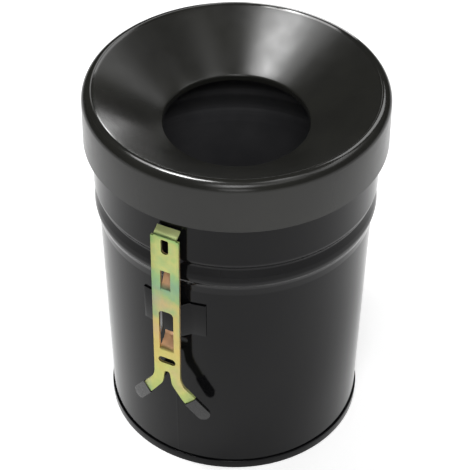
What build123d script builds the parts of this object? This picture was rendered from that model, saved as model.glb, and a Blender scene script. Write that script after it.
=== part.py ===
"""Self-extinguishing ashtray bin: a round steel bin standing on the floor, with its wall bracket hooked on.

Frame: millimetres, +Z up, origin on the bin's axis at the floor, the bracket on the -Y side.
"""
import os
from math import atan2, cos, degrees, radians, sin, tan

from build123d import *

os.makedirs("parts", exist_ok=True)

# ---- driving dimensions -------------------------------------------------------------------------
H = 396.0              # overall height
SHEET = 1.0            # sheet of the head, body and pan
GAP = 0.1              # gap between pieces that are rolled or welded together
LIFT_GAP = 0.3         # gap under the clips, which lift off
LAP = 2.0              # how far joined or cutting shapes are drawn into or past each other

# extinguishing head
R_HEAD = 150.0         # outside of the skirt
Z_SKIRT = 340.0        # lower edge of the skirt
R_CORNER = 10.0        # rolled outer corner of the top
R_THROAT = 72.0        # clear radius of the throat
FUNNEL_DROP = 40.0     # from the crest to where the cone would meet the throat
THROAT_ROLL = 3.0      # roll from the cone into the throat's collar
Z_COLLAR = 350.0       # lower edge of the collar

# body shell: outside radii and heights
R_FOOT, Z_FOOT = 129.9, 10.0             # top of the straight stretch held in the base pan
R_LOWER, Z_LOWER = 136.9, 249.0          # top of the tapered wall
RIDGE_UNDER = [(138.1, 257.6), (139.2, 261.4), (140.7, 264.4)]
RIDGE_CREST, RIDGE_TOP = (141.4, 268.8), (140.6, 274.0)
VALLEY_LOW, VALLEY_MID, VALLEY_HIGH = (138.5, 281.6), (138.2, 283.1), (138.5, 284.6)
LIP = (140.9, 289.2)
R_UPPER, Z_UPPER = 141.3, 291.5          # bottom of the straight upper wall
R_CURL, Z_CURL = 2.6, 369.6              # curled rim: outside radius and centre height
CURL_END = -115.0                        # where the curl stops, in degrees round its centre
Z_SHELL = 1.3                            # lower edge of the shell

# base pan
R_RING, Z_RING = 131.6, 9.4              # folded edge round the body
Z_DISC = 7.0                             # top of the disc
RING_NOSE = 0.7

# head clips
CLIP_ANGLES = {"right": 45.0, "back": 135.0, "left": 225.0, "front": 315.0}
CLIP_WIDTH, CLIP_T = 24.0, 1.2
CLIP_SIDE_GAP = 0.7                      # between the flat clip and the round skirt
CLIP_WALL_GAP = 2.2                      # between the clip and the inside of the body's wall
Z_CLIP_LOW, Z_CLIP_KNEE = 347.4, 354.0
CLIP_SPLAY, CLIP_MITRE = 4.0, 0.3        # how far the end leans in, and the step across the knee
CLIP_END = (1.0, 0.6)                    # slant of its square-cut end

# hanger plate
PLATE_HALF_DEG, PLATE_T = 14.3, 1.5
Z_PLATE_LOW, Z_PLATE_HIGH = 191.0, 232.5
BRIDGE_HALF, Y_BRIDGE = 5.8, -148.9      # half width of the bridge's flat, and its face towards the wall
Y_FLANK_END = -128.0                     # where the flanks are drawn to, inside the body's skin
NOTCH_HALF, Z_NOTCH = 8.0, 199.5         # cut in the bridge's lower edge

# wall bracket
Y_WALL, STEEL = -152.0, 2.5              # face that lies on the wall, and thickness
STRAP_HALF, Z_SHOULDER = 15.0, 320.0
STRAP_HALF_LOW = 14.2                    # it narrows a little towards the legs
TAB_HALF, TAB_LEAN, TAB_REACH = 12.0, 58.0, 8.2
SCREW_W, SCREW_L = 8.0, 19.0
Z_SCREW_HIGH, Z_SCREW_LOW = 310.0, 160.0
REST_HALF, Z_REST_LOW, Z_REST_HIGH = 5.4, 253.9, 278.7    # small window
HOOK_HALF, Z_HOOK_LOW, Z_HOOK_HIGH = 7.8, 171.5, 226.0    # large window
HOOK_CORNER = 4.5                        # its corner radius
LANCE = 0.4                              # cut each side of a tongue
REST_LEAN, REST_REACH, REST_BEND = 25.0, 17.0, 1.5        # slope, straight run, inside bend radius
HOOK_LEAN, HOOK_REACH, HOOK_BEND = 48.0, 11.0, 4.0
Z_HOOK_ROOT, HOOK_TIP = 172.5, 18.5      # where it leaves the strap, and its upright end's length
Z_CROTCH, CROTCH_HALF, CROTCH_DROP = 145.6, 3.2, 3.0      # top of the slot between the legs
KNEE_HALF, KNEE_R, ELBOW_R = 5.0, 16.0, 26.0             # its half width below, and the bends in outline
LEG_W, LEG_ANGLE = 12.0, 37.0            # width, and run away from the vertical in the flat
X_FOLD, LEG_BEND, FOLD_R = 15.3, 22.0, 8.0
JUNCTION = (20.5, 111.4)                 # middle of a leg at its cap's mouth, in the flat
LEG_RUN, LEG_PAST = 45.0, 4.0            # how far the sheet and the outline are drawn on, before the cut
STUB_HALF, STUB_LEN = 4.7, 21.0          # narrowed end inside the cap
CAP_LEN, CAP_W, CAP_WALL, CAP_ROUND = 28.5, 13.8, 0.8, 0.5

WALL_FACE = Plane(origin=(0, Y_WALL, 0), x_dir=(1, 0, 0), z_dir=(0, -1, 0))


# ---- drawing helpers ----------------------------------------------------------------------------
def trace(points):
    """Closed outline in the open BuildLine: straight runs, or arcs given as (mid, end)."""
    at = points[0]
    for step in points[1:]:
        if isinstance(step[0], tuple):
            ThreePointArc(at, step[0], step[1])
            at = step[1]
        else:
            Line(at, step)
            at = step
    Line(at, points[0])


def on_arc(centre, radius, angle):
    return (centre[0] + radius * cos(radians(angle)), centre[1] + radius * sin(radians(angle)))


def arc_to(centre, radius, start, end):
    return (on_arc(centre, radius, (start + end) / 2), on_arc(centre, radius, end))


def finish(part, name):
    part.label = name
    export_step(part, "parts/" + name + ".step")


# ---- extinguishing head: one spun sheet, seen in half section ---------------------------------------
def head_profile():
    crest = R_HEAD - R_CORNER
    slope = atan2(FUNNEL_DROP, crest - R_THROAT)
    corner = (crest, H - R_CORNER)
    r_roll = R_THROAT + THROAT_ROLL
    z_touch = H - (crest - r_roll + THROAT_ROLL * sin(slope)) * tan(slope)
    roll = (r_roll, z_touch - THROAT_ROLL * cos(slope))
    top, inner = 90.0 + degrees(slope), THROAT_ROLL - SHEET
    return [
        (R_HEAD, Z_SKIRT),
        (R_HEAD, H - R_CORNER),
        arc_to(corner, R_CORNER, 0.0, 90.0),
        on_arc(roll, THROAT_ROLL, top),
        arc_to(roll, THROAT_ROLL, top, 180.0),
        (R_THROAT, Z_COLLAR),
        (R_THROAT + SHEET, Z_COLLAR),
        on_arc(roll, inner, 180.0),
        arc_to(roll, inner, 180.0, top),
        on_arc(corner, R_CORNER - SHEET, 90.0),
        arc_to(corner, R_CORNER - SHEET, 90.0, 0.0),
        (R_HEAD - SHEET, Z_SKIRT),
    ]


with BuildPart() as extinguisher_head:
    with BuildSketch(Plane.XZ):
        with BuildLine():
            trace(head_profile())
        make_face()
    revolve(axis=Axis.Z)
finish(extinguisher_head.part, "extinguisher_head")


# ---- head clips: bent strips inside the skirt that sit on the body's rim -----------------------------
def clip_profile():
    r_out = R_HEAD - SHEET - CLIP_SIDE_GAP
    r_in = R_UPPER - SHEET - CLIP_WALL_GAP
    r_end = r_in - CLIP_T - CLIP_SPLAY
    seat = Z_CURL + R_CURL + LIFT_GAP
    return [
        (r_out, Z_CLIP_LOW), (r_out, seat + CLIP_T), (r_in - CLIP_T, seat + CLIP_T),
        (r_in - CLIP_T, Z_CLIP_KNEE), (r_end, Z_CLIP_LOW + CLIP_END[1]),
        (r_end + CLIP_END[0], Z_CLIP_LOW), (r_in, Z_CLIP_KNEE - CLIP_MITRE),
        (r_in, seat), (r_out - CLIP_T, seat), (r_out - CLIP_T, Z_CLIP_LOW),
    ]


for side, angle in CLIP_ANGLES.items():
    across = (sin(radians(angle)), -cos(radians(angle)), 0)
    with BuildPart() as head_clip:
        with BuildSketch(Plane(origin=(0, 0, 0), x_dir=(-across[1], across[0], 0), z_dir=across)):
            with BuildLine():
                trace(clip_profile())
            make_face()
        extrude(amount=CLIP_WIDTH / 2, both=True)
    finish(head_clip.part, "head_clip_" + side)


# ---- body shell: rolled sheet with a ridge and a curled rim ------------------------------------------
def wall_points():
    """Outside of the shell from the foot up to the straight upper wall, in half section."""
    return (
        [(R_FOOT, Z_SHELL), (R_FOOT, Z_FOOT), (R_LOWER, Z_LOWER)]
        + RIDGE_UNDER + [(RIDGE_CREST, RIDGE_TOP)]
        + [VALLEY_LOW, (VALLEY_MID, VALLEY_HIGH)]
        + [LIP, (R_UPPER, Z_UPPER)]
    )


def inside_wall():
    """The same wall from the top down, one sheet further in."""
    points = (
        [(R_UPPER, Z_UPPER), LIP, VALLEY_HIGH, (VALLEY_MID, VALLEY_LOW), RIDGE_TOP]
        + [(RIDGE_CREST, RIDGE_UNDER[-1])] + RIDGE_UNDER[-2::-1]
        + [(R_LOWER, Z_LOWER), (R_FOOT, Z_FOOT), (R_FOOT, Z_SHELL)]
    )
    return [shifted(point, -SHEET) for point in points]


def shifted(point, dx):
    """A point, or an arc given as (mid, end), moved sideways."""
    if isinstance(point[0], tuple):
        return tuple(shifted(p, dx) for p in point)
    return (point[0] + dx, point[1])


def body_profile():
    curl, inner = (R_UPPER + R_CURL - SHEET, Z_CURL), R_CURL - SHEET
    rim = [
        on_arc(curl, inner, 180.0),
        arc_to(curl, inner, 180.0, 0.0),
        arc_to(curl, inner, 0.0, CURL_END),
        on_arc(curl, R_CURL, CURL_END),
        arc_to(curl, R_CURL, CURL_END, 0.0),
        arc_to(curl, R_CURL, 0.0, 180.0),
    ]
    return wall_points() + rim + inside_wall()


with BuildPart() as body_shell:
    with BuildSketch(Plane.XZ):
        with BuildLine():
            trace(body_profile())
        make_face()
    revolve(axis=Axis.Z)
finish(body_shell.part, "body_shell")


# ---- base pan: raised disc, with its edge folded down, under and up round the body's lower edge -------
def pan_profile():
    r_leg = R_FOOT - SHEET - GAP
    r_skin = R_FOOT + GAP
    shelf = 2.6
    return [
        (0.0, Z_DISC - SHEET),
        (r_leg - shelf, Z_DISC - SHEET),
        (r_leg - SHEET, Z_DISC - shelf),
        (r_leg - SHEET, 0.0),
        (R_RING - RING_NOSE, 0.0),
        arc_to((R_RING - RING_NOSE, RING_NOSE), RING_NOSE, -90.0, 0.0),
        (R_RING, Z_RING - RING_NOSE),
        arc_to((R_RING - RING_NOSE, Z_RING - RING_NOSE), RING_NOSE, 0.0, 90.0),
        (r_skin, Z_RING),
        (r_skin, SHEET),
        (r_leg, SHEET),
        (r_leg, Z_DISC - shelf),
        (r_leg - shelf, Z_DISC),
        (0.0, Z_DISC),
    ]


with BuildPart() as base_pan:
    with BuildSketch(Plane.XZ):
        with BuildLine():
            trace(pan_profile())
        make_face()
    revolve(axis=Axis.Z)
finish(base_pan.part, "base_pan")


# ---- hanger plate: two curved wings on the body, joined by a raised bridge ----------------------------
def body_radius(z):
    return R_FOOT + (R_LOWER - R_FOOT) * (z - Z_FOOT) / (Z_LOWER - Z_FOOT)


def band(low, high, inset, out):
    """Half section of a ring that follows the body's taper, from inset to out beyond its skin."""
    return [
        (body_radius(low) + inset, low), (body_radius(low) + out, low),
        (body_radius(high) + out, high), (body_radius(high) + inset, high),
    ]


def bridge_edge(inset):
    """Right half of the bridge in plan: half its flat, then a flank at 45 degrees; inset into the sheet."""
    corner = BRIDGE_HALF - inset * tan(radians(22.5))
    top = Y_BRIDGE + inset
    return [(corner, top), (corner + Y_FLANK_END - top, Y_FLANK_END)]


def mirrored(points):
    return [(-x, y) for x, y in reversed(points)]


def bridge_plan():
    outer, inner = bridge_edge(0.0), bridge_edge(PLATE_T)
    return mirrored(outer) + outer + list(reversed(inner)) + list(reversed(mirrored(inner)))


def bridge_space():
    inner = bridge_edge(PLATE_T)
    return mirrored(inner) + inner


PLATE_H = Z_PLATE_HIGH - Z_PLATE_LOW
CUT_H = PLATE_H + 2 * LAP
FAR, DEEP = 170.0, -20.0                 # radii beyond the plate, and well inside the body's skin
NOTCH_DEPTH = 6.0
with BuildPart() as hanger_plate:
    with BuildSketch(Plane.XZ):
        with BuildLine():
            trace(band(Z_PLATE_LOW, Z_PLATE_HIGH, GAP, GAP + PLATE_T))
        make_face()
    revolve(axis=Axis.Z)
    with BuildSketch(Plane.XY.offset(Z_PLATE_LOW - LAP)):
        with BuildLine():
            spread = FAR * tan(radians(PLATE_HALF_DEG))
            trace([(0.0, 0.0), (-spread, -FAR), (spread, -FAR)])
        make_face()
    extrude(amount=CUT_H, mode=Mode.INTERSECT)
    with BuildSketch(Plane.XY.offset(Z_PLATE_LOW - LAP)):
        with BuildLine():
            trace(bridge_space())
        make_face()
    extrude(amount=CUT_H, mode=Mode.SUBTRACT)
    with BuildSketch(Plane.XY.offset(Z_PLATE_LOW)):
        with BuildLine():
            trace(bridge_plan())
        make_face()
    extrude(amount=PLATE_H)
    with Locations((0.0, Y_BRIDGE, Z_PLATE_LOW)):
        Box(2 * NOTCH_HALF, 2 * NOTCH_DEPTH, 2 * (Z_NOTCH - Z_PLATE_LOW), mode=Mode.SUBTRACT)
    with BuildSketch(Plane.XZ):
        with BuildLine():
            trace(band(Z_PLATE_LOW - LAP, Z_PLATE_HIGH + LAP, DEEP, GAP))
        make_face()
    revolve(axis=Axis.Z, mode=Mode.SUBTRACT)
finish(hanger_plate.part, "hanger_plate")


# ---- wall bracket: one pressed strap with a top tab, two lanced tongues and two splayed legs -----------
LEG_DIR = (sin(radians(LEG_ANGLE)), -cos(radians(LEG_ANGLE)))
LEG_NORMAL = (cos(radians(LEG_ANGLE)), sin(radians(LEG_ANGLE)))
FOLD_AXIS = Axis((X_FOLD, Y_WALL + STEEL + FOLD_R, 0.0), (0, 0, 1))


def leg_point(along, across):
    """Point on the right leg in the flat, measured from the middle of the cap's mouth."""
    return (JUNCTION[0] + along * LEG_DIR[0] + across * LEG_NORMAL[0],
            JUNCTION[1] + along * LEG_DIR[1] + across * LEG_NORMAL[1])


def leg_front(along, across):
    """The same point of the folded leg's outer face, seen square on from the wall."""
    x, z = leg_point(along, across)
    fold = radians(LEG_BEND)
    return (X_FOLD + (x - X_FOLD) * cos(fold) + (STEEL + FOLD_R) * sin(fold), z)


def leg_line_at(x, across):
    """Point of a leg's edge line at x, seen from the wall."""
    start, end = leg_front(0.0, across), leg_front(1.0, across)
    return (x, start[1] + (x - start[0]) * (end[1] - start[1]) / (end[0] - start[0]))


def rounded(before, corner, after, radius):
    """Start of the arc that rounds a corner, then the arc as (mid, end)."""
    p, a, b = (Vector(*q) for q in (corner, before, after))
    u, v = (a - p).normalized(), (b - p).normalized()
    half = radians(u.get_angle(v)) / 2
    centre = p + (u + v).normalized() * (radius / sin(half))
    mid = centre + (p - centre).normalized() * radius
    start, end = (p + w * (radius / tan(half)) for w in (u, v))
    return [(start.X, start.Y), ((mid.X, mid.Y), (end.X, end.Y))]


def half_strap():
    """Right half of the strap and its leg, seen from the wall, drawn on past the cap's mouth."""
    half, slope = LEG_W / 2, radians(45)
    elbow, knee = leg_line_at(STRAP_HALF_LOW, half), leg_line_at(KNEE_HALF, -half)
    shoulder, end_out = (STRAP_HALF, Z_SHOULDER), leg_front(LEG_PAST, half)
    end_in, slot_side = leg_front(LEG_PAST, -half), (CROTCH_HALF, Z_CROTCH - CROTCH_DROP)
    crotch_mid = (CROTCH_HALF * cos(slope), Z_CROTCH - CROTCH_DROP * (1 - sin(slope)))
    return (
        [(0.0, Z_SHOULDER), shoulder]
        + rounded(shoulder, elbow, end_out, ELBOW_R)
        + [end_out, end_in]
        + rounded(end_in, knee, slot_side, KNEE_R)
        + [slot_side, (crotch_mid, (0.0, Z_CROTCH))]
    )


def bent_sheet():
    """The strap's sheet seen from above: flat behind the strap, folded in towards the bin under the legs."""
    fold_at = (X_FOLD, Y_WALL + STEEL + FOLD_R)
    outer, inner = STEEL + FOLD_R, FOLD_R
    stop = -90.0 + LEG_BEND
    end_o, end_i = on_arc(fold_at, outer, stop), on_arc(fold_at, inner, stop)
    run = (LEG_RUN * cos(radians(LEG_BEND)), LEG_RUN * sin(radians(LEG_BEND)))
    return [
        (0.0, Y_WALL), (X_FOLD, Y_WALL),
        arc_to(fold_at, outer, -90.0, stop),
        (end_o[0] + run[0], end_o[1] + run[1]),
        (end_i[0] + run[0], end_i[1] + run[1]),
        end_i,
        arc_to(fold_at, inner, stop, -90.0),
        (0.0, Y_WALL + STEEL),
    ]


def leg_block(start, stop, half):
    """Corners of a straight stretch of the leg in the flat."""
    return [leg_point(start, half), leg_point(stop, half), leg_point(stop, -half), leg_point(start, -half)]


def bent_strip(z_root, lean, reach, radius, tip=0.0):
    """Side view of a strip that leaves the strap at z_root, leans in and may end in an upright tip."""
    outer = radius + STEEL
    c = (Y_WALL + outer, z_root)
    lean_at = 180.0 - lean
    end_o, end_i = on_arc(c, outer, lean_at), on_arc(c, radius, lean_at)
    run = (reach * sin(radians(lean)), reach * cos(radians(lean)))
    wall_side, bin_side = (end_o[0] + run[0], end_o[1] + run[1]), (end_i[0] + run[0], end_i[1] + run[1])
    shape = [(Y_WALL, z_root - LAP), (Y_WALL, z_root), arc_to(c, outer, 180.0, lean_at), wall_side]
    if tip:
        back = on_arc(wall_side, radius, lean_at)
        top_o, top_i = (back[0] + radius, back[1] + tip), (back[0] + outer, back[1] + tip)
        shape += [arc_to(back, radius, -lean, 0.0), top_o, top_i, (top_i[0], back[1]),
                  arc_to(back, outer, 0.0, -lean)]
    else:
        shape += [bin_side]
    return shape + [end_i, arc_to(c, radius, lean_at, 180.0), (Y_WALL + STEEL, z_root - LAP)]


with BuildPart() as beyond_mouth:
    with BuildSketch(WALL_FACE.offset(STEEL)):
        with BuildLine():
            trace(leg_block(0.0, LEG_RUN, LEG_W))
        make_face()
    extrude(amount=-3 * STEEL)

with BuildPart() as stub:
    with BuildSketch(WALL_FACE):
        with BuildLine():
            trace(leg_block(-LAP, STUB_LEN, STUB_HALF))
        make_face()
    extrude(amount=-STEEL)

STRIPS = [
    (TAB_HALF, (Z_SHOULDER, TAB_LEAN, TAB_REACH, REST_BEND)),
    (REST_HALF - LANCE, (Z_REST_LOW, REST_LEAN, REST_REACH, REST_BEND)),
    (HOOK_HALF - LANCE, (Z_HOOK_ROOT, HOOK_LEAN, HOOK_REACH, HOOK_BEND, HOOK_TIP)),
]
with BuildPart() as wall_bracket:
    with BuildSketch(WALL_FACE):
        with BuildLine():
            trace(half_strap())
        make_face()
    extrude(amount=-LEG_RUN)
    with BuildSketch(Plane.XY):
        with BuildLine():
            trace(bent_sheet())
        make_face()
    extrude(amount=Z_SHOULDER, mode=Mode.INTERSECT)
    add(beyond_mouth.part.rotate(FOLD_AXIS, LEG_BEND), mode=Mode.SUBTRACT)
    add(stub.part.rotate(FOLD_AXIS, LEG_BEND))
    mirror(about=Plane.YZ)
    with BuildSketch(WALL_FACE):
        with Locations((0.0, Z_SCREW_HIGH)):
            SlotOverall(SCREW_L, SCREW_W, rotation=90)
        with Locations((0.0, Z_SCREW_LOW)):
            SlotOverall(SCREW_L, SCREW_W)
        with Locations((0.0, (Z_REST_LOW + Z_REST_HIGH) / 2)):
            Rectangle(2 * REST_HALF, Z_REST_HIGH - Z_REST_LOW)
        with Locations((0.0, (Z_HOOK_LOW + Z_HOOK_HIGH) / 2)):
            RectangleRounded(2 * HOOK_HALF, Z_HOOK_HIGH - Z_HOOK_LOW, HOOK_CORNER)
    extrude(amount=-STEEL, mode=Mode.SUBTRACT)
    for half_width, shape in STRIPS:
        with BuildSketch(Plane.YZ):
            with BuildLine():
                trace(bent_strip(*shape))
            make_face()
        extrude(amount=half_width, both=True)
finish(wall_bracket.part, "wall_bracket")


# ---- leg caps: plastic sleeves pushed over the legs' narrowed ends --------------------------------------
def cap_outline():
    half = CAP_W / 2
    return [
        leg_point(GAP, half), leg_point(CAP_LEN - half, half),
        (leg_point(CAP_LEN, 0.0), leg_point(CAP_LEN - half, -half)),
        leg_point(GAP, -half),
    ]


def cap_pocket():
    half = STUB_HALF + GAP
    return [
        leg_point(-LAP, half), leg_point(STUB_LEN + GAP, half),
        leg_point(STUB_LEN + GAP, -half), leg_point(-LAP, -half),
    ]


with BuildPart() as flat_cap:
    with BuildSketch(WALL_FACE.offset(CAP_WALL + GAP)):
        with BuildLine():
            trace(cap_outline())
        make_face()
    extrude(amount=-STEEL - 2 * (CAP_WALL + GAP))
    fillet(flat_cap.faces().filter_by(Axis.Y).edges(), CAP_ROUND)
    with BuildSketch(WALL_FACE.offset(GAP)):
        with BuildLine():
            trace(cap_pocket())
        make_face()
    extrude(amount=-STEEL - 2 * GAP, mode=Mode.SUBTRACT)

with BuildPart() as leg_cap_right:
    add(flat_cap.part.rotate(FOLD_AXIS, LEG_BEND))
finish(leg_cap_right.part, "leg_cap_right")

with BuildPart() as leg_cap_left:
    add(leg_cap_right.part)
    mirror(about=Plane.YZ, mode=Mode.REPLACE)
finish(leg_cap_left.part, "leg_cap_left")
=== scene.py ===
"""Looks of the ashtray bin: a gloss black steel bin, its satin head and its yellow-zinc wall bracket."""
from math import atan2, cos, degrees, pi, radians, sin, tan

import bmesh
import bpy
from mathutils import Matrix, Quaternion, Vector


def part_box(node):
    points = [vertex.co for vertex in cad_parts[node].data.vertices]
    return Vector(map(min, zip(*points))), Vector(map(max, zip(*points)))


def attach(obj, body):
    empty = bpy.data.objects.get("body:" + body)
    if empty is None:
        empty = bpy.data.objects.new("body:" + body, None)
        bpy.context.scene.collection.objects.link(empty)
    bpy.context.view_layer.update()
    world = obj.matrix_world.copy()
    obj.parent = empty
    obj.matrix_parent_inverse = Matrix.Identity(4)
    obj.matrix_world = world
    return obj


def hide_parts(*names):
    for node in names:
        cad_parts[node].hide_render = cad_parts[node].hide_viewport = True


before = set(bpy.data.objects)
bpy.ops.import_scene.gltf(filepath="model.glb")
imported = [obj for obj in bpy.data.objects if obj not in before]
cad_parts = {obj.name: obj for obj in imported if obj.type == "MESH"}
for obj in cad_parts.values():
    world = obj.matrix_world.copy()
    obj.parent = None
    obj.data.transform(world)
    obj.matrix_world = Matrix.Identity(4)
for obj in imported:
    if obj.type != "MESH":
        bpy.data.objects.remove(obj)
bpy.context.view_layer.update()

MM = 0.001


# ---- sizes: some are read from the frame, the rest repeat the CAD's ---------------------------------
def top_of(node):
    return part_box(node)[1].z


def radius_of(node):
    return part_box(node)[1].x


H = top_of("extinguisher_head")
R_HEAD = radius_of("extinguisher_head")
Z_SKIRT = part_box("extinguisher_head")[0].z
SHEET, GAP = 1.0 * MM, 0.1 * MM
R_CORNER, R_THROAT = 10.0 * MM, 72.0 * MM
CREST_FROM, CREST_ROUND = 84.0, 1.0 * MM     # degrees round the corner, and the crest's own radius
FUNNEL_DROP, THROAT_ROLL, Z_COLLAR = 40.0 * MM, 3.0 * MM, 350.0 * MM
SOFT_EDGE, PAN_EDGE = 0.35 * MM, 0.3 * MM    # what is taken off sheared edges

R_FOOT, Z_FOOT = 129.9 * MM, 10.0 * MM
R_LOWER, Z_LOWER = 136.9 * MM, 249.0 * MM
R_UPPER = 141.3 * MM
R_CURL, Z_CURL, CURL_END = 2.6 * MM, 369.6 * MM, -115.0
Z_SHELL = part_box("body_shell")[0].z

R_RING, Z_RING = radius_of("base_pan"), top_of("base_pan")
Z_DISC, PAN_SHELF, RING_NOSE = 7.0 * MM, 2.6 * MM, 0.75 * MM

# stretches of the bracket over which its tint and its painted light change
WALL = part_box("wall_bracket")[0].y
INWARD_FROM, INWARD_TO = WALL + 0.3 * MM, WALL + 3.0 * MM
TINT_LOW, TINT_HIGH = 100.0 * MM, 330.0 * MM
LEGS_TOP, TONGUES_LOW = 150.0 * MM, 165.0 * MM
TONGUES_HIGH, TAB_LOW, TAB_HIGH = 300.0 * MM, 310.0 * MM, 318.0 * MM

TURN_STEPS = 256


# ---- materials ----------------------------------------------------------------------------------
class Nodes:
    """Small helper to write a material's node tree by name."""

    def __init__(self, name):
        self.material = bpy.data.materials.new(name)
        self.material.use_nodes = True
        self.tree = self.material.node_tree
        self.shader = self.tree.nodes["Principled BSDF"]

    def add(self, kind, **values):
        node = self.tree.nodes.new(kind)
        for key, value in values.items():
            if key in node.inputs:
                node.inputs[key].default_value = value
            else:
                setattr(node, key, value)
        return node

    def link(self, source, target):
        self.tree.links.new(source, target)

    def place(self):
        return self.add("ShaderNodeTexCoord").outputs["Object"]

    def part_of_place(self, letter):
        node = self.add("ShaderNodeSeparateXYZ")
        self.link(self.place(), node.inputs["Vector"])
        return node.outputs[letter]

    def height(self):
        return self.part_of_place("Z")

    def depth(self):
        return self.part_of_place("Y")

    def maths(self, operation, first, second):
        node = self.add("ShaderNodeMath", operation=operation)
        self.link(first, node.inputs[0])
        self.link(second, node.inputs[1])
        return node.outputs["Value"]

    def mix(self, share, colour, other):
        node = self.add("ShaderNodeMix", data_type="RGBA")
        self.link(share, node.inputs["Factor"])
        self.link(colour, node.inputs[6])
        node.inputs[7].default_value = (*other, 1.0)
        return node.outputs[2]

    def noise(self, scale, detail=2.0, rough=0.5):
        node = self.add("ShaderNodeTexNoise", Scale=scale, Detail=detail, Roughness=rough)
        self.link(self.place(), node.inputs["Vector"])
        return node.outputs["Fac"]

    def remap(self, value, low, high, start=0.3, end=0.7):
        node = self.add("ShaderNodeMapRange")
        for key, number in zip(("From Min", "From Max", "To Min", "To Max"), (start, end, low, high)):
            node.inputs[key].default_value = number
        self.link(value, node.inputs["Value"])
        return node.outputs["Result"]

    def ramp(self, value, stops):
        node = self.add("ShaderNodeValToRGB")
        ramp = node.color_ramp
        while len(ramp.elements) < len(stops):
            ramp.elements.new(0.5)
        for element, (at, colour) in zip(ramp.elements, stops):
            element.position, element.color = at, (*colour, 1.0)
        self.link(value, node.inputs["Fac"])
        return node.outputs["Color"]

    def bump(self, height, strength, distance):
        node = self.add("ShaderNodeBump", Strength=strength, Distance=distance)
        self.link(height, node.inputs["Height"])
        self.link(node.outputs["Normal"], self.shader.inputs["Normal"])

    def set(self, **values):
        for key, value in values.items():
            socket = self.shader.inputs[key.replace("_", " ")]
            if isinstance(value, bpy.types.NodeSocket):
                self.link(value, socket)
            else:
                socket.default_value = value


def satin_black():
    """Powder coat on the head: faint olive tint, fine orange peel, thin and shiny along the sharp crest."""
    n = Nodes("satin_black")
    cloud = n.noise(14.0, 3.0)
    crest = n.remap(n.height(), 0.0, 1.0, H - 1.5 * MM, H - 0.5 * MM)
    sheen = n.remap(n.noise(60.0, 4.0), 0.20, 0.25)
    n.set(Base_Color=n.ramp(cloud, [(0.35, (0.016, 0.016, 0.0145)), (0.65, (0.020, 0.020, 0.0175))]),
          Roughness=n.maths("SUBTRACT", sheen, n.remap(crest, 0.0, 0.12, 0.0, 1.0)),
          Specular_IOR_Level=n.remap(crest, 0.31, 1.0, 0.0, 1.0))
    n.bump(n.noise(900.0, 2.0), 0.06, 0.0002)
    return n.material


def gloss_black():
    """Paint on the body: deep black and smooth, with a fine ripple."""
    n = Nodes("gloss_black")
    cloud = n.noise(9.0, 2.0)
    n.set(Base_Color=n.ramp(cloud, [(0.3, (0.0035, 0.0035, 0.004)), (0.7, (0.0045, 0.0045, 0.005))]),
          Roughness=n.remap(n.noise(45.0, 4.0), 0.10, 0.14), Specular_IOR_Level=0.14)
    n.bump(n.noise(420.0, 2.0), 0.04, 0.0002)
    return n.material


def inner_black():
    """Thin overspray inside the bin: duller and patchy, and paler than the outer paint as painted fill
    light for the inside, which the lamps hardly reach.
    """
    n = Nodes("inner_black")
    patches = n.noise(30.0, 5.0)
    # the pale tone is painted fill light inside the bin
    n.set(Base_Color=n.ramp(patches, [(0.3, (0.062, 0.062, 0.067)), (0.7, (0.082, 0.082, 0.086))]),
          Roughness=n.remap(n.noise(80.0, 3.0), 0.5, 0.6), Specular_IOR_Level=0.3)
    n.bump(n.noise(700.0, 2.0), 0.08, 0.0002)
    return n.material


def yellow_zinc():
    """Chromated zinc: tints drift along the strap from straw to green; patches are rosy; the tongues are
    rosy and pale and the tab pale yellow, their paleness painted light on their upward faces.
    """
    n = Nodes("yellow_zinc")
    along = n.remap(n.height(), 0.0, 1.0, TINT_LOW, TINT_HIGH)
    drift = n.remap(n.noise(30.0, 4.0, 0.6), -0.13, 0.13)
    tint = n.ramp(n.maths("ADD", along, drift), [
        (0.00, (0.26, 0.38, 0.13)), (0.16, (0.45, 0.46, 0.15)), (0.34, (0.52, 0.41, 0.135)),
        (0.46, (0.46, 0.40, 0.15)), (0.55, (0.28, 0.39, 0.17)), (0.64, (0.21, 0.34, 0.21)),
        (0.76, (0.27, 0.41, 0.18)), (0.86, (0.45, 0.46, 0.17)), (0.94, (0.28, 0.44, 0.16))])
    blush = n.remap(n.noise(20.0, 3.0, 0.6), 0.0, 0.45, 0.52, 0.66)
    tint = n.mix(blush, tint, (0.48, 0.32, 0.22))
    inward = n.remap(n.depth(), 0.0, 1.0, INWARD_FROM, INWARD_TO)
    below_tab = n.remap(n.height(), 1.0, 0.0, TONGUES_HIGH, TAB_LOW)
    above_legs = n.remap(n.height(), 0.0, 1.0, LEGS_TOP, TONGUES_LOW)
    # tongues: a rosy tint made pale by painted light on their upward faces
    tongues = n.maths("MULTIPLY", inward, n.maths("MULTIPLY", below_tab, above_legs))
    # tab: painted light, a pale yellow in place of the light on its upturned face under the head's rim
    tab = n.maths("MULTIPLY", inward, n.remap(n.height(), 0.0, 1.0, TAB_LOW, TAB_HIGH))
    tint = n.mix(tab, tint, (0.66, 0.74, 0.32))
    n.set(Base_Color=n.mix(tongues, tint, (0.78, 0.46, 0.26)),
          Metallic=n.remap(inward, 1.0, 0.3, 0.0, 1.0),
          Roughness=n.remap(n.noise(140.0, 4.0), 0.28, 0.42))
    n.bump(n.noise(650.0, 3.0), 0.10, 0.0002)
    return n.material


def zinc_edge_highlight():
    """Sheared edges of the strap, painted pale: a painted highlight along its rounded edges."""
    n = Nodes("zinc_edge_highlight")
    # the pale base colour is a painted highlight along the edges
    n.set(Base_Color=n.ramp(n.noise(160.0, 3.0), [(0.3, (0.78, 0.76, 0.58)), (0.7, (0.92, 0.90, 0.78))]),
          Metallic=0.2, Roughness=n.remap(n.noise(300.0, 2.0), 0.35, 0.5))
    return n.material


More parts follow.
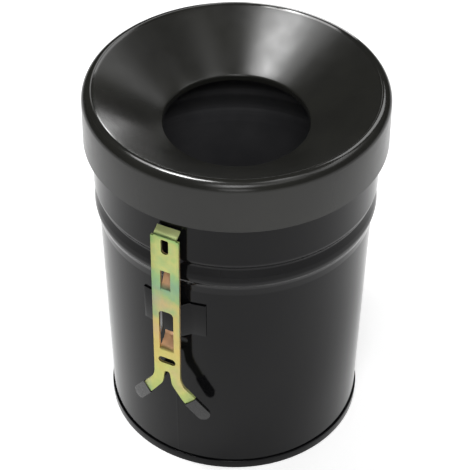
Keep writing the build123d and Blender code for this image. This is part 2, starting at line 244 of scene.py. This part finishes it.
def plain_steel():
    """Bare clips inside the head: grey, lightly scratched."""
    n = Nodes("plain_steel")
    n.set(Base_Color=n.ramp(n.noise(90.0, 4.0), [(0.3, (0.30, 0.30, 0.31)), (0.7, (0.44, 0.44, 0.45))]),
          Metallic=1.0, Roughness=n.remap(n.noise(200.0, 3.0), 0.35, 0.5))
    n.bump(n.noise(800.0, 2.0), 0.08, 0.0002)
    return n.material


def grey_plastic():
    """Plastic sleeves on the legs: dark, with a soft shine and fine grain."""
    n = Nodes("grey_plastic")
    scuffs = n.noise(70.0, 4.0)
    n.set(Base_Color=n.ramp(scuffs, [(0.3, (0.006, 0.006, 0.006)), (0.7, (0.012, 0.012, 0.012))]),
          Roughness=n.remap(n.noise(260.0, 3.0), 0.20, 0.32), Specular_IOR_Level=0.5)
    n.bump(n.noise(1500.0, 2.0), 0.12, 0.0001)
    return n.material


# ---- mesh helpers -------------------------------------------------------------------------------
ON_AXIS, SAME_POINT = 1e-6, 1e-7


def on_arc(centre, radius, angle):
    return (centre[0] + radius * cos(radians(angle)), centre[1] + radius * sin(radians(angle)))


def arc(centre, radius, start, end, steps):
    """Points along an arc in the (radius, height) plane, ends included; angles in degrees."""
    return [on_arc(centre, radius, start + (end - start) * i / steps) for i in range(steps + 1)]


def between(start, end, shares):
    """Points on the straight run from start to end, at the given shares of its length."""
    return [(start[0] + (end[0] - start[0]) * t, start[1] + (end[1] - start[1]) * t) for t in shares]


def even_shares(count):
    """Shares that cut a run into equal stretches, its ends left out."""
    return [k / count for k in range(1, count)]


def shifted(points, dr):
    return [(r + dr, z) for r, z in points]


def round_corner(before, corner, after, radius, steps):
    """Arc that rounds a corner between two straight runs."""
    p, a, b = (Vector(q) for q in (corner, before, after))
    u, v = (a - p).normalized(), (b - p).normalized()
    half = u.angle(v) / 2
    centre = p + (u + v).normalized() * (radius / sin(half))
    start, end = p + u * (radius / tan(half)), p + v * (radius / tan(half))
    t0, t1 = (atan2(*(q - centre).yx) for q in (start, end))
    turn = (t1 - t0 + pi) % (2 * pi) - pi
    return [on_arc(centre, radius, degrees(t0 + turn * i / steps)) for i in range(steps + 1)]


def finish_mesh(name, bm, materials, body, replaced, sharp=35.0):
    """Turns a bmesh into a shown piece that rides on a body and stands for a CAD node."""
    bmesh.ops.recalc_face_normals(bm, faces=bm.faces)
    mesh = bpy.data.meshes.new(name)
    bm.to_mesh(mesh)
    bm.free()
    for face in mesh.polygons:
        face.use_smooth = True
    mesh.set_sharp_from_angle(angle=radians(sharp))
    for material in materials:
        mesh.materials.append(material)
    piece = bpy.data.objects.new(name, mesh)
    bpy.context.scene.collection.objects.link(piece)
    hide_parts(replaced)
    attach(piece, body)
    return piece


def lathe(profile, turns, second_from):
    """Closed profile in (radius, height) spun about Z; the second material starts at point second_from."""
    bm = bmesh.new()
    rings = []
    for angle in turns:
        c, s = cos(angle), sin(angle)
        rings.append([bm.verts.new((r * c, r * s, z)) for r, z in profile])
    count = len(profile)
    for here, there in zip(rings, rings[1:] + rings[:1]):
        for i in range(count):
            j = (i + 1) % count
            if profile[i][0] < ON_AXIS and profile[j][0] < ON_AXIS:
                continue
            face = bm.faces.new([here[i], there[i], there[j], here[j]])
            face.material_index = 1 if i >= second_from else 0
    bmesh.ops.remove_doubles(bm, verts=bm.verts, dist=SAME_POINT)
    return bm


def full_turn():
    return [2 * pi * k / TURN_STEPS for k in range(TURN_STEPS)]


# ---- extinguishing head -------------------------------------------------------------------------
def head_profile():
    crest = R_HEAD - R_CORNER
    slope = atan2(FUNNEL_DROP, crest - R_THROAT)
    corner = (crest, H - R_CORNER)
    r_roll = R_THROAT + THROAT_ROLL
    z_touch = H - (crest - r_roll + THROAT_ROLL * sin(slope)) * tan(slope)
    roll = (r_roll, z_touch - THROAT_ROLL * cos(slope))
    top = 90.0 + degrees(slope)
    edge, cone_shares = SOFT_EDGE, even_shares(12)
    on_cone = on_arc(roll, THROAT_ROLL, top)
    below_cone = on_arc(roll, THROAT_ROLL - SHEET, top)
    under_crest = on_arc(corner, R_CORNER - SHEET, 90.0)
    outer = [(R_HEAD, Z_SKIRT + edge)]
    outer += between((R_HEAD, Z_SKIRT), (R_HEAD, H - R_CORNER), even_shares(4))
    outer += arc(corner, R_CORNER, 0.0, CREST_FROM, 16)
    outer += round_corner(outer[-1], (crest, H), on_cone, CREST_ROUND, 5)
    outer += between(outer[-1], on_cone, cone_shares)
    outer += arc(roll, THROAT_ROLL, top, 180.0, 8)
    outer += [(R_THROAT, Z_COLLAR + edge), (R_THROAT + edge, Z_COLLAR)]
    inner = [(R_THROAT + SHEET - edge, Z_COLLAR), (R_THROAT + SHEET, Z_COLLAR + edge)]
    inner += arc(roll, THROAT_ROLL - SHEET, 180.0, top, 6)
    inner += between(below_cone, under_crest, cone_shares)
    inner += arc(corner, R_CORNER - SHEET, 90.0, 0.0, 12)
    inner += [(R_HEAD - SHEET, Z_SKIRT + edge), (R_HEAD - SHEET + edge, Z_SKIRT), (R_HEAD - edge, Z_SKIRT)]
    return outer, inner


def make_head(paint, under):
    outer, inner = head_profile()
    bm = lathe(outer + inner, full_turn(), len(outer))
    return finish_mesh("head_sheet", bm, [paint, under], "head", "extinguisher_head")


# ---- body shell ---------------------------------------------------------------------------------
RIDGE = [
    # radius and height of the pressed ridge's corners, and the radius each is rounded to, in mm
    (136.9, 249.0, 12.0), (138.1, 257.6, 6.0), (139.2, 261.4, 3.5), (140.7, 264.4, 3.0),
    (141.4, 268.8, 9.0), (140.6, 274.0, 9.0), (138.3, 282.4, 2.6), (138.5, 284.6, 1.6),
    (140.9, 289.2, 3.0), (141.3, 291.5, 5.0),
]


def ridge_points():
    """Ridge seen in section, from the top of the tapered wall to the bottom of the upper wall."""
    corners = [(R_FOOT, Z_FOOT)] + [(r * MM, z * MM) for r, z, _ in RIDGE] + [(R_UPPER, Z_CURL)]
    points = []
    for before, corner, after, (_, _, radius) in zip(corners, corners[1:], corners[2:], RIDGE):
        points += round_corner(before, corner, after, radius * MM, 3)
    return points


def body_profile():
    curl = (R_UPPER + R_CURL - SHEET, Z_CURL)
    wall = [(R_FOOT, Z_SHELL), (R_FOOT, Z_FOOT)]
    wall += between((R_FOOT, Z_FOOT), (R_LOWER, Z_LOWER), even_shares(5))
    wall += ridge_points()
    rim = arc(curl, R_CURL - SHEET, 180.0, CURL_END, 20) + arc(curl, R_CURL, CURL_END, 180.0, 24)
    return wall + rim, shifted(reversed(wall), -SHEET)


SEAM_AT = radians(-90.0)
SEAM_HALF = 1.1 * MM
SEAM_RISE = 0.16 * MM
SEAM_CLEAR = 0.01            # radians kept free between the close angles and the even ones
SEAM_REACH = SEAM_HALF * 1.05


def seam_turns():
    """Angles round the shell, with a few close ones either side of the lengthwise weld."""
    half = SEAM_HALF / R_LOWER
    close = [SEAM_AT + half * t for t in (-2.5, -1.5, -1.0, -0.6, -0.2, 0.2, 0.6, 1.0, 1.5, 2.5)]
    first, last = close[-1] + SEAM_CLEAR, close[0] + 2 * pi - SEAM_CLEAR
    wide = [SEAM_AT + 2 * pi * k / TURN_STEPS for k in range(1, TURN_STEPS)]
    return close + [angle for angle in wide if first < angle < last]


def make_body(paint, inner_paint):
    outer, inner = body_profile()
    bm = lathe(outer + inner, seam_turns(), len(outer) - 1)
    for v in bm.verts:
        off = (atan2(v.co.y, v.co.x) - SEAM_AT) * R_LOWER
        if abs(off) < SEAM_REACH and Z_RING < v.co.z < Z_CURL - R_CURL * 2:
            rise = SEAM_RISE * (1 - (off / SEAM_REACH) ** 2)
            v.co.xy *= 1 + rise / v.co.xy.length
    return finish_mesh("body_sheet", bm, [paint, inner_paint], "bin", "body_shell")


# ---- base pan -----------------------------------------------------------------------------------
def pan_profile():
    """Underside, folded ring and top of the disc, in half section."""
    r_leg, r_skin = R_FOOT - SHEET - GAP, R_FOOT + GAP
    r_disc, r_nose = r_leg - PAN_SHELF, R_RING - RING_NOSE
    spokes = [(t * r_disc, Z_DISC) for t in (0.0, 0.25, 0.5, 0.75, 1.0)]
    under = [(r, z - SHEET) for r, z in spokes]
    under += [(r_leg - SHEET, Z_DISC - PAN_SHELF), (r_leg - SHEET, PAN_EDGE)]
    under += [(r_leg - SHEET + PAN_EDGE, 0.0)]
    ring = arc((r_nose, RING_NOSE), RING_NOSE, -90.0, 0.0, 5)
    ring += arc((r_nose, Z_RING - RING_NOSE), RING_NOSE, 0.0, 90.0, 5)
    ring += [(r_skin, Z_RING), (r_skin, SHEET), (r_leg, SHEET), (r_leg, Z_DISC - PAN_SHELF)]
    return under, ring, spokes[::-1]


def make_pan(paint, inner_paint):
    under, ring, disc = pan_profile()
    bm = lathe(under + ring + disc, full_turn(), len(under + ring) - 1)
    return finish_mesh("pan_sheet", bm, [paint, inner_paint], "bin", "base_pan")


# ---- pieces kept at their CAD shape, with their sharp edges broken -----------------------------------
MERGE = 2e-6                 # metres between points of the CAD mesh that are one
FLAT, SHARP = 1.0, 38.0      # degrees under which faces are merged, and over which edges are rounded


def softened(node, name, materials, body, offset):
    """Copy of a CAD node with flat faces merged and its sharp edges rounded in the last material."""
    bm = bmesh.new()
    bm.from_mesh(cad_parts[node].data)
    bmesh.ops.remove_doubles(bm, verts=bm.verts, dist=MERGE)
    bmesh.ops.dissolve_limit(bm, angle_limit=radians(FLAT), verts=bm.verts, edges=bm.edges)
    for face in bm.faces:
        face.material_index = 0
    sharp = [e for e in bm.edges if len(e.link_faces) == 2 and e.calc_face_angle(0.0) > radians(SHARP)]
    rounded = bmesh.ops.bevel(bm, geom=sharp, offset=offset, segments=3, profile=0.5,
                              affect="EDGES", clamp_overlap=True)
    for face in rounded["faces"]:
        face.material_index = len(materials) - 1
    return finish_mesh(name, bm, materials, body, node, sharp=40.0)


def make_all():
    satin, gloss, dull = satin_black(), gloss_black(), inner_black()
    zinc, edge, steel, plastic = yellow_zinc(), zinc_edge_highlight(), plain_steel(), grey_plastic()
    make_head(satin, dull)
    make_body(gloss, dull)
    make_pan(gloss, dull)
    for side in ("right", "back", "left", "front"):
        softened("head_clip_" + side, "clip_strip_" + side, [steel], "head", 0.2 * MM)
    softened("hanger_plate", "hanger_pressing", [gloss], "bin", 0.35 * MM)
    softened("wall_bracket", "bracket_strap", [zinc, edge], "bracket", 0.75 * MM)
    for side in ("left", "right"):
        softened("leg_cap_" + side, "cap_sleeve_" + side, [plastic], "bracket", 0.3 * MM)


make_all()


# ---- floor, light and camera ----------------------------------------------------------------------
FLOOR_SIZE = 6.0
FLOOR_GLOW = 0.5             # the floor glows, so the bin throws hardly any shadow


def make_floor():
    bpy.ops.mesh.primitive_plane_add(size=FLOOR_SIZE, location=(0.0, 0.0, 0.0))
    floor = bpy.context.object
    floor.name = "floor"
    n = Nodes("pale_floor")
    n.set(Base_Color=n.ramp(n.noise(2.0, 2.0), [(0.3, (0.96, 0.96, 0.96)), (0.7, (0.97, 0.97, 0.97))]),
          Roughness=0.9, Emission_Color=(1.0, 1.0, 1.0, 1.0), Emission_Strength=FLOOR_GLOW)
    floor.data.materials.append(n.material)


LIGHT_DISTANCE = 1.7
LIGHT_AIM = Vector((0.0, 0.0, 0.3))
SOFTBOXES = [
    # name, degrees round from the camera, degrees up, width and height in metres, watts
    ("key_high", -82.0, 77.0, 0.3, 0.3, 6.0),
    ("key_middle", -100.0, 71.0, 0.3, 0.3, 6.5),
    ("key_left", -120.0, 66.0, 0.5, 0.5, 3.5),
    ("front_high", 0.0, 50.0, 0.5, 0.5, 7.0),
    ("front_middle", -8.0, 40.0, 0.4, 0.4, 1.5),
    ("front_low", 0.0, 12.0, 0.5, 0.5, 3.0),
    ("right_high", 60.0, 69.0, 0.5, 0.6, 2.5),
    ("right_near", 36.0, 50.0, 0.8, 0.5, 2.0),
    ("right_far", 88.0, 50.0, 0.8, 0.5, 4.0),
    ("back_right", 144.0, 45.0, 0.5, 0.8, 2.5),
    ("back_line", 170.0, 6.0, 0.5, 0.4, 2.5),
    ("back_left", 191.0, 32.0, 0.5, 0.5, 1.0),
    ("back_low", 176.0, 11.0, 0.5, 0.4, 1.0),
]


VIEW_AZIMUTH, VIEW_ELEVATION, VIEW_ROLL = 26.0, 41.065, 0.483      # degrees
VIEW_DISTANCE, VIEW_LENS, SENSOR = 2.0469, 153.19, 36.0            # metres, millimetres, millimetres
VIEW_AIM = Vector((-0.00045, -0.00022, 0.20673))


def place_towards(thing, aim, azimuth, elevation, distance, roll=0.0):
    """Puts a lamp or camera at a distance from its aim, looking at it; azimuth 0 is on the -Y side."""
    a, e = radians(azimuth), radians(elevation)
    back = Vector((sin(a) * cos(e), -cos(a) * cos(e), sin(e)))
    thing.location = aim + back * distance
    thing.rotation_mode = "QUATERNION"
    thing.rotation_quaternion = (-back).to_track_quat("-Z", "Y") @ Quaternion((0, 0, 1), radians(roll))
    bpy.context.scene.collection.objects.link(thing)


def make_lamp(name, offset, elevation, width, height, power):
    data = bpy.data.lights.new(name, "AREA")
    data.shape, data.size, data.size_y, data.energy = "RECTANGLE", width, height, power
    lamp = bpy.data.objects.new(name, data)
    place_towards(lamp, LIGHT_AIM, VIEW_AZIMUTH + offset, elevation, LIGHT_DISTANCE)


def make_world():
    """Black surroundings: all the light comes from the softboxes and the floor."""
    world = bpy.data.worlds.new("studio")
    bpy.context.scene.world = world
    world.use_nodes = True
    world.node_tree.nodes["Background"].inputs["Strength"].default_value = 0.0


def make_camera():
    data = bpy.data.cameras.new("camera")
    data.lens, data.sensor_width = VIEW_LENS, SENSOR
    camera = bpy.data.objects.new("camera", data)
    place_towards(camera, VIEW_AIM, VIEW_AZIMUTH, VIEW_ELEVATION, VIEW_DISTANCE, VIEW_ROLL)
    bpy.context.scene.camera = camera


make_floor()
make_world()
for softbox in SOFTBOXES:
    make_lamp(*softbox)
make_camera()
bpy.context.scene.view_settings.view_transform = "Standard"
